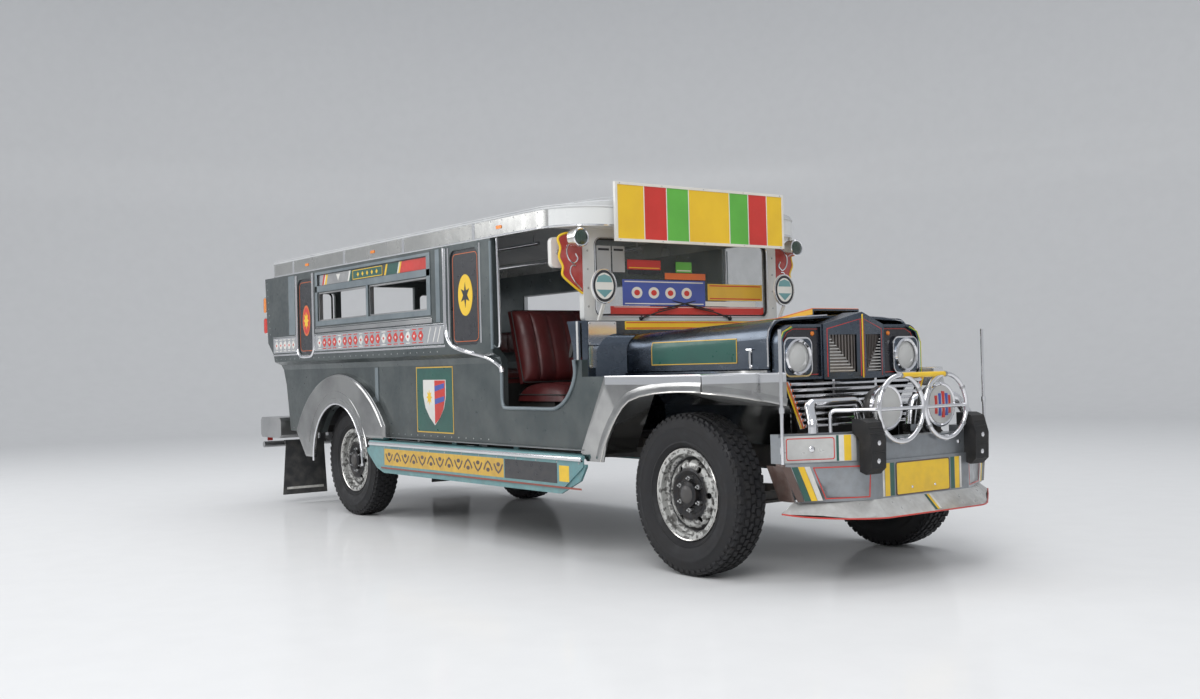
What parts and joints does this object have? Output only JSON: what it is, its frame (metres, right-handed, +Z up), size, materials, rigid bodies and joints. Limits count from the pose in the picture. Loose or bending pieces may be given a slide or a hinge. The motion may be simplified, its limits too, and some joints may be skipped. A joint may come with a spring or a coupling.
{
  "type": "jeepney",
  "caption": "Open-sided passenger jeepney with long side benches, opening hood, steered front wheels and ornate chrome and painted trim.",
  "frame": {"origin": "on the ground, under the centre of the vehicle's bounding box", "axes": "+X towards the front of the vehicle, +Y towards its left side, +Z up"},
  "size_m": [5.945, 1.8, 1.99],
  "materials": {
    "frame_paint": "satin",
    "cast_metal": "rough",
    "steel": "brushed",
    "mirror_steel": "polished",
    "chrome": "polished",
    "body_paint": "gloss",
    "roof_paint": "gloss",
    "blue_steel": "gloss",
    "bumper_paint": "hammered",
    "yellow_paint": "gloss",
    "step_paint": "gloss",
    "floor_paint": "matt",
    "vinyl": "satin",
    "black_plastic": "matt",
    "rubber": "matt",
    "tyre": "matt",
    "glass": "clear",
    "lamp_glass": "clear",
    "red_lens": "gloss",
    "red_tint": "clear",
    "rim_paint": "gloss"
  },
  "bodies": {
    "chassis": {"chassis_frame": "frame_paint", "engine_block": "cast_metal", "propshaft": "frame_paint", "front_axle": "frame_paint", "rear_axle": "frame_paint", "leaf_springs": "frame_paint", "fuel_tank": "steel", "exhaust": "steel", "floor_pan": "floor_paint", "wheel_housings": "floor_paint", "seat_frames": "floor_paint", "bench_cushions": "vinyl", "front_seats": "vinyl", "body_side_left": "body_paint", "body_side_right": "body_paint", "window_frames": "body_paint", "roof_shell": "roof_paint", "roof_rail": "mirror_steel", "rear_frame": "body_paint", "cowl": "blue_steel", "windshield_frame": "roof_paint", "windshield_glass": "glass", "dashboard": "black_plastic", "sign_board": "yellow_paint", "radiator_shell": "blue_steel", "radiator_core": "frame_paint", "grille_louvres": "mirror_steel", "grille_bars": "chrome", "headlight_nacelles": "chrome", "headlamps": "lamp_glass", "front_fenders": "blue_steel", "rear_fenders": "mirror_steel", "step_boards": "step_paint", "front_bumper": "bumper_paint", "overriders": "rubber", "bumper_valance": "bumper_paint", "lamp_guard": "chrome", "grille_tubes": "chrome", "driving_lamps": "chrome", "handrails": "chrome", "rear_step": "chrome", "marker_lamps": "red_lens", "mud_flaps": "rubber", "mirrors": "chrome", "deflector_wings": "red_tint", "oval_plates": "chrome"},
    "hood": {"hood": "blue_steel"},
    "steering_wheel": {"steering_wheel": "black_plastic"},
    "knuckle_left": {"knuckle_left": "cast_metal"},
    "knuckle_right": {"knuckle_right": "cast_metal"},
    "tie_rod": {"tie_rod": "frame_paint"},
    "wheel_front_left": {"tyre_front_left": "tyre", "rim_front_left": "rim_paint"},
    "wheel_front_right": {"tyre_front_right": "tyre", "rim_front_right": "rim_paint"},
    "wheel_rear_left": {"tyre_rear_left": "tyre", "rim_rear_left": "rim_paint"},
    "wheel_rear_right": {"tyre_rear_right": "tyre", "rim_rear_right": "rim_paint"}
  },
  "joints": [
    {"name": "hood_hinge", "type": "hinge", "parent": "chassis", "child": "hood", "pos_m": [1.3955, 0, 1.19], "axis": [0, -1, 0], "range_deg": [0, 50]},
    {"name": "steer_right", "type": "hinge", "parent": "chassis", "child": "knuckle_right", "pos_m": [2.1075, -0.6, 0.388], "axis": [0, 0, 1], "range_deg": [-28, 28]},
    {"name": "steer_left", "type": "hinge", "parent": "chassis", "child": "knuckle_left", "pos_m": [2.1075, 0.6, 0.388], "axis": [0, 0, 1], "range_deg": [-28, 28]},
    {"name": "tie_rod_slide", "type": "slide", "parent": "chassis", "child": "tie_rod", "axis": [0, 1, 0], "range_m": [-0.0725, 0.0725]},
    {"name": "steering_wheel_turn", "type": "hinge", "parent": "chassis", "child": "steering_wheel", "pos_m": [0.8775, 0.37, 1.12], "axis": [-0.6428, 0, 0.766], "range_deg": [-420, 420]},
    {"name": "wheel_front_left_spin", "type": "hinge", "parent": "knuckle_left", "child": "wheel_front_left", "pos_m": [2.1075, 0.689, 0.388], "axis": [0, 1, 0], "continuous": true},
    {"name": "wheel_front_right_spin", "type": "hinge", "parent": "knuckle_right", "child": "wheel_front_right", "pos_m": [2.1075, -0.689, 0.388], "axis": [0, 1, 0], "continuous": true},
    {"name": "wheel_rear_left_spin", "type": "hinge", "parent": "chassis", "child": "wheel_rear_left", "pos_m": [-1.5155, 0.689, 0.388], "axis": [0, 1, 0], "continuous": true},
    {"name": "wheel_rear_right_spin", "type": "hinge", "parent": "chassis", "child": "wheel_rear_right", "pos_m": [-1.5155, -0.689, 0.388], "axis": [0, 1, 0], "continuous": true}
  ],
  "couplings": [
    {"joint": "steer_left", "follows": "steer_right", "ratio": 1},
    {"joint": "tie_rod_slide", "follows": "steer_right", "m_per_rad": -0.147},
    {"joint": "steering_wheel_turn", "follows": "steer_right", "ratio": 15}
  ]
}
